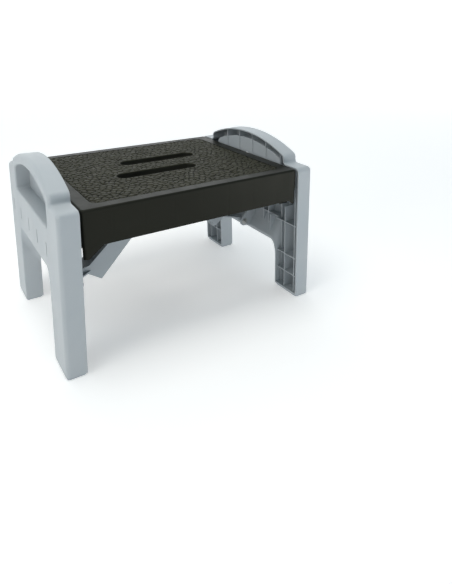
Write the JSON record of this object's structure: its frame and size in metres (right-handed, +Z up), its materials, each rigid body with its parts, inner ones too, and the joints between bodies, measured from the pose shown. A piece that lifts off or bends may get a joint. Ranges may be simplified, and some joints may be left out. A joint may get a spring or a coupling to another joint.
{
  "type": "folding step stool",
  "caption": "Folding step stool: flat non-slip platform on ribbed leg panels with handle arches; panels fold under, braced by swinging struts.",
  "frame": {"origin": "on the ground, under the middle of the platform", "axes": "+X along the platform towards one leg panel, +Y across the platform, +Z up"},
  "size_m": [0.5724, 0.4, 0.3669],
  "materials": {
    "platform_plastic": "moulded, satin, fine grain",
    "tread_rubber": "pebbled non-slip texture",
    "panel_plastic": "moulded, satin, light grey-blue",
    "sole_rubber": "matt, grooved",
    "strut_plastic": "moulded, satin",
    "bearing_plastic": "smooth, self-lubricating",
    "pin_steel": "zinc plated"
  },
  "bodies": {
    "platform": {"catch_screws_left": "pin_steel", "catch_screws_right": "pin_steel", "hinge_rod_caps_left": "pin_steel", "hinge_rod_caps_right": "pin_steel", "hinge_rod_left": "pin_steel", "hinge_rod_right": "pin_steel", "platform_shell": "platform_plastic", "strut_catch_left": "bearing_plastic", "strut_catch_right": "bearing_plastic", "tread_mat": "tread_rubber"},
    "leg_left": {"leg_panel_left": "panel_plastic", "foot_pad_left_front": "sole_rubber", "foot_pad_left_rear": "sole_rubber", "strut_pin_left": "pin_steel", "strut_pin_clip_left": "pin_steel"},
    "strut_left": {"strut_left": "strut_plastic", "slide_pin_left": "pin_steel", "slide_rollers_left": "bearing_plastic"},
    "leg_right": {"leg_panel_right": "panel_plastic", "foot_pad_right_front": "sole_rubber", "foot_pad_right_rear": "sole_rubber", "strut_pin_right": "pin_steel", "strut_pin_clip_right": "pin_steel"},
    "strut_right": {"strut_right": "strut_plastic", "slide_pin_right": "pin_steel", "slide_rollers_right": "bearing_plastic"}
  },
  "joints": [
    {"name": "fold_right", "type": "hinge", "parent": "platform", "child": "leg_right", "pos_m": [0.242, 0, 0.238], "axis": [0, 1, 0], "range_deg": [0, 87.6]},
    {"name": "strut_swing_right", "type": "hinge", "parent": "leg_right", "child": "strut_right", "pos_m": [0.229, 0.0485, 0.134], "axis": [0, 1, 0], "range_deg": [-116.4, 0]},
    {"name": "fold_left", "type": "hinge", "parent": "platform", "child": "leg_left", "pos_m": [-0.242, 0, 0.238], "axis": [0, -1, 0], "range_deg": [0, 87.6]},
    {"name": "strut_swing_left", "type": "hinge", "parent": "leg_left", "child": "strut_left", "pos_m": [-0.229, -0.0485, 0.134], "axis": [0, -1, 0], "range_deg": [-116.4, 0]}
  ],
  "couplings": [
    {"joint": "strut_swing_right", "follows": "fold_right", "ratio": -1.3278},
    {"joint": "strut_swing_left", "follows": "fold_left", "ratio": -1.3278}
  ]
}
